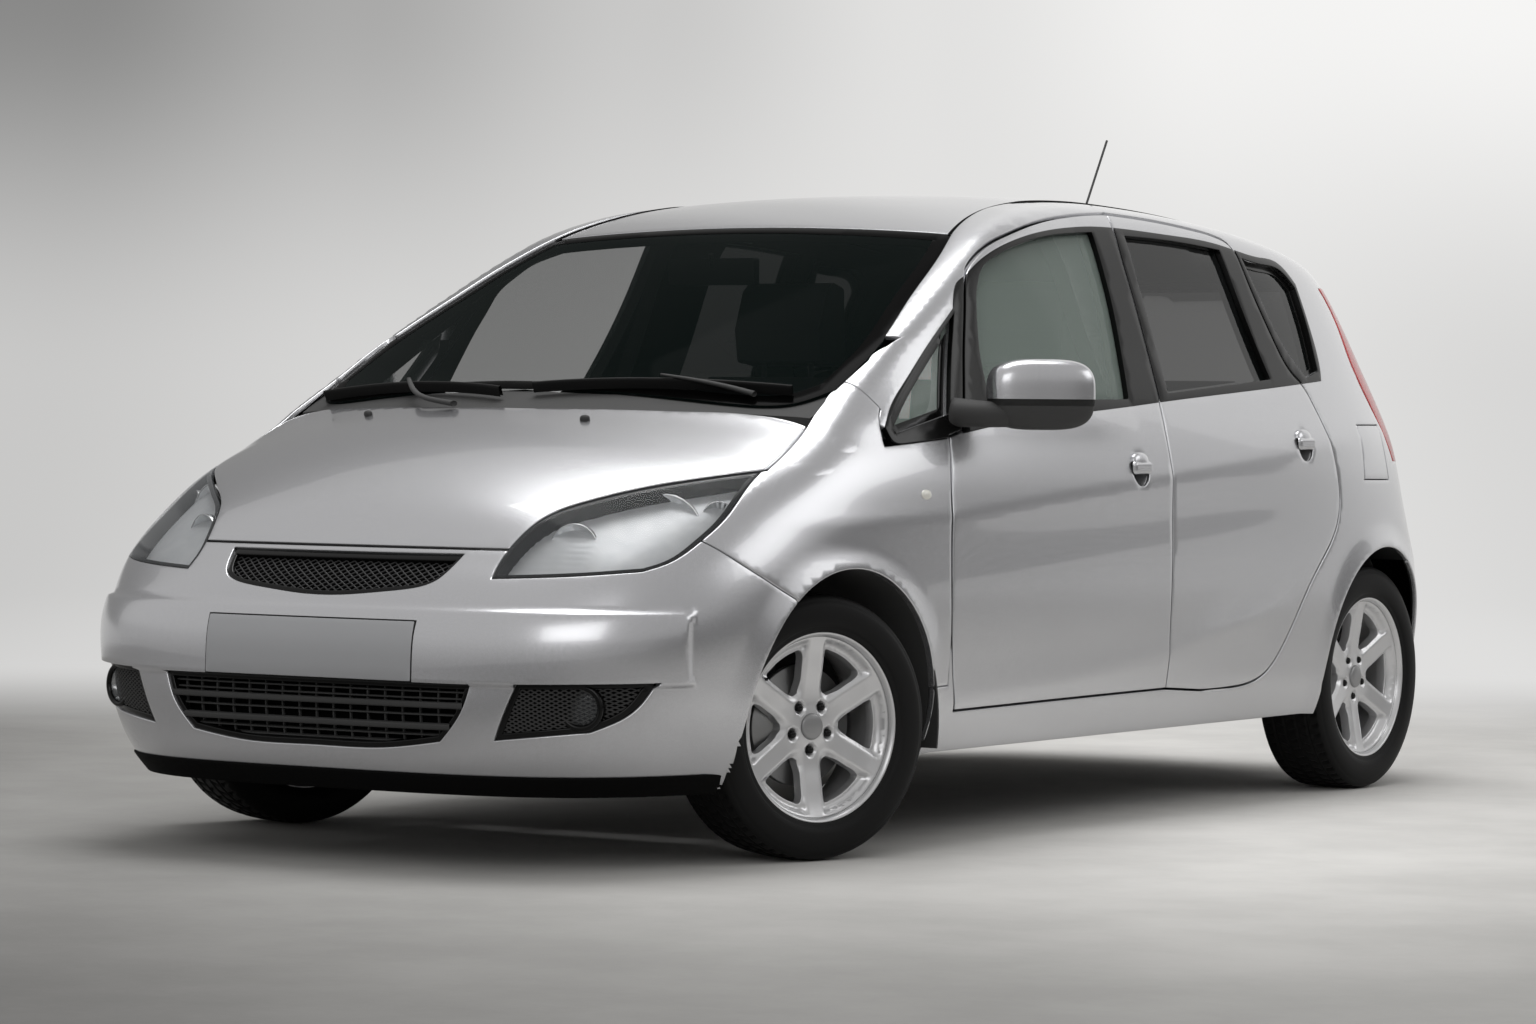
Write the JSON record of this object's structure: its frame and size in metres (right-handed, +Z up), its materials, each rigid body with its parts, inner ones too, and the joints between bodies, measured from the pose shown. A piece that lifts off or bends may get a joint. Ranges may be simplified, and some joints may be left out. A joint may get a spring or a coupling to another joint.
{
  "type": "hatchback car",
  "caption": "Small high-roofed hatchback car with opening side doors, tailgate, bonnet and fuel flap, steered front wheels, alloy rims, cabin with seats and right-hand steering.",
  "frame": {"origin": "on the ground under the centre of the car's bounding box", "axes": "+X to the car's left, +Y to the rear, so the front faces -Y, +Z up"},
  "size_m": [2.027, 3.8415, 1.6617],
  "materials": {
    "body_paint": "silver metallic, clear coat",
    "green_glass": "green tinted, polished",
    "privacy_glass": "dark grey tint, polished",
    "black_plastic": "fine grain",
    "lamp_glass": "clear, polished",
    "red_glass": "red, polished",
    "dark_floor": "dark primer and seam coat",
    "engine_alloy": "as cast",
    "chassis_iron": "black coating",
    "exhaust_steel": "dull",
    "knuckle_iron": "as cast",
    "tyre": "moulded",
    "wheel_alloy": "silver lacquer",
    "grip_leather": "fine grain",
    "seat_cloth": "woven, dark grey",
    "mirror_plastic": "smooth black"
  },
  "bodies": {
    "car_body": {"front_fenders": "body_paint", "side_frame_left": "body_paint", "side_frame_right": "body_paint", "fixed_side_glass": "privacy_glass", "roof_panel": "body_paint", "windscreen": "green_glass", "cowl_panel": "black_plastic", "front_bumper": "body_paint", "front_grilles": "black_plastic", "headlamps": "lamp_glass", "fog_lamps": "lamp_glass", "rear_bumper": "body_paint", "tail_lamps": "red_glass", "floor_pan": "dark_floor", "wheel_house_liners": "black_plastic", "engine_block": "engine_alloy", "front_subframe": "chassis_iron", "rear_axle": "chassis_iron", "exhaust": "exhaust_steel", "dashboard": "black_plastic", "front_seats": "seat_cloth", "rear_bench": "seat_cloth", "inside_mirror": "mirror_plastic", "roof_aerial": "black_plastic"},
    "front_door_left": {"front_door_left": "body_paint", "front_door_glass_left": "green_glass", "door_mirror_left": "body_paint"},
    "front_door_right": {"front_door_right": "body_paint", "front_door_glass_right": "green_glass", "door_mirror_right": "body_paint"},
    "rear_door_left": {"rear_door_left": "body_paint", "rear_door_glass_left": "privacy_glass"},
    "rear_door_right": {"rear_door_right": "body_paint", "rear_door_glass_right": "privacy_glass"},
    "tailgate": {"tailgate": "body_paint", "tailgate_glass": "privacy_glass"},
    "bonnet": {"bonnet": "body_paint"},
    "fuel_flap": {"fuel_flap": "body_paint"},
    "front_knuckle_left": {"front_knuckle_left": "knuckle_iron"},
    "front_knuckle_right": {"front_knuckle_right": "knuckle_iron"},
    "front_wheel_left": {"tyre_front_left": "tyre", "wheel_front_left": "wheel_alloy"},
    "front_wheel_right": {"tyre_front_right": "tyre", "wheel_front_right": "wheel_alloy"},
    "rear_wheel_left": {"tyre_rear_left": "tyre", "wheel_rear_left": "wheel_alloy"},
    "rear_wheel_right": {"tyre_rear_right": "tyre", "wheel_rear_right": "wheel_alloy"},
    "steering_wheel": {"steering_wheel": "grip_leather"}
  },
  "joints": [
    {"name": "front_door_left_hinge", "type": "hinge", "parent": "car_body", "child": "front_door_left", "pos_m": [0.835, -0.70695, 0.6], "axis": [0, 0, -1], "range_deg": [0, 65]},
    {"name": "front_door_right_hinge", "type": "hinge", "parent": "car_body", "child": "front_door_right", "pos_m": [-0.835, -0.70695, 0.6], "axis": [0, 0, 1], "range_deg": [0, 65]},
    {"name": "rear_door_left_hinge", "type": "hinge", "parent": "car_body", "child": "rear_door_left", "pos_m": [0.835, 0.256, 0.6], "axis": [0, 0, -1], "range_deg": [0, 68]},
    {"name": "rear_door_right_hinge", "type": "hinge", "parent": "car_body", "child": "rear_door_right", "pos_m": [-0.835, 0.256, 0.6], "axis": [0, 0, 1], "range_deg": [0, 68]},
    {"name": "tailgate_hinge", "type": "hinge", "parent": "car_body", "child": "tailgate", "pos_m": [0, 1.56105, 1.33], "axis": [1, 0, 0], "range_deg": [0, 78]},
    {"name": "bonnet_hinge", "type": "hinge", "parent": "car_body", "child": "bonnet", "pos_m": [0, -1.09895, 0.92], "axis": [-1, 0, 0], "range_deg": [0, 48]},
    {"name": "fuel_flap_hinge", "type": "hinge", "parent": "car_body", "child": "fuel_flap", "pos_m": [0.835, 1.2585, 0.85], "axis": [0, 0, -1], "range_deg": [0, 85]},
    {"name": "steer_left", "type": "hinge", "parent": "car_body", "child": "front_knuckle_left", "pos_m": [0.655, -1.13595, 0.3], "axis": [0, 0, 1], "range_deg": [-16.3, 53.7]},
    {"name": "steer_right", "type": "hinge", "parent": "car_body", "child": "front_knuckle_right", "pos_m": [-0.655, -1.13595, 0.3], "axis": [0, 0, 1], "range_deg": [-16.3, 53.7]},
    {"name": "front_wheel_left_spin", "type": "hinge", "parent": "front_knuckle_left", "child": "front_wheel_left", "pos_m": [0.7071, -1.15358, 0.283], "axis": [0.9472, -0.3206, 0], "continuous": true},
    {"name": "front_wheel_right_spin", "type": "hinge", "parent": "front_knuckle_right", "child": "front_wheel_right", "pos_m": [-0.7071, -1.11832, 0.283], "axis": [-0.9472, 0.3206, 0], "continuous": true},
    {"name": "rear_wheel_left_spin", "type": "hinge", "parent": "car_body", "child": "rear_wheel_left", "pos_m": [0.705, 1.36405, 0.283], "axis": [1, 0, 0], "continuous": true},
    {"name": "rear_wheel_right_spin", "type": "hinge", "parent": "car_body", "child": "rear_wheel_right", "pos_m": [-0.705, 1.36405, 0.283], "axis": [-1, 0, 0], "continuous": true},
    {"name": "steering_wheel_turn", "type": "hinge", "parent": "car_body", "child": "steering_wheel", "pos_m": [-0.345, -0.35595, 0.8361], "axis": [0, 0.8988, 0.4384], "range_deg": [-268, 881]}
  ],
  "couplings": [
    {"joint": "steer_right", "follows": "steer_left", "ratio": 1},
    {"joint": "steering_wheel_turn", "follows": "steer_left", "ratio": 16.4}
  ]
}
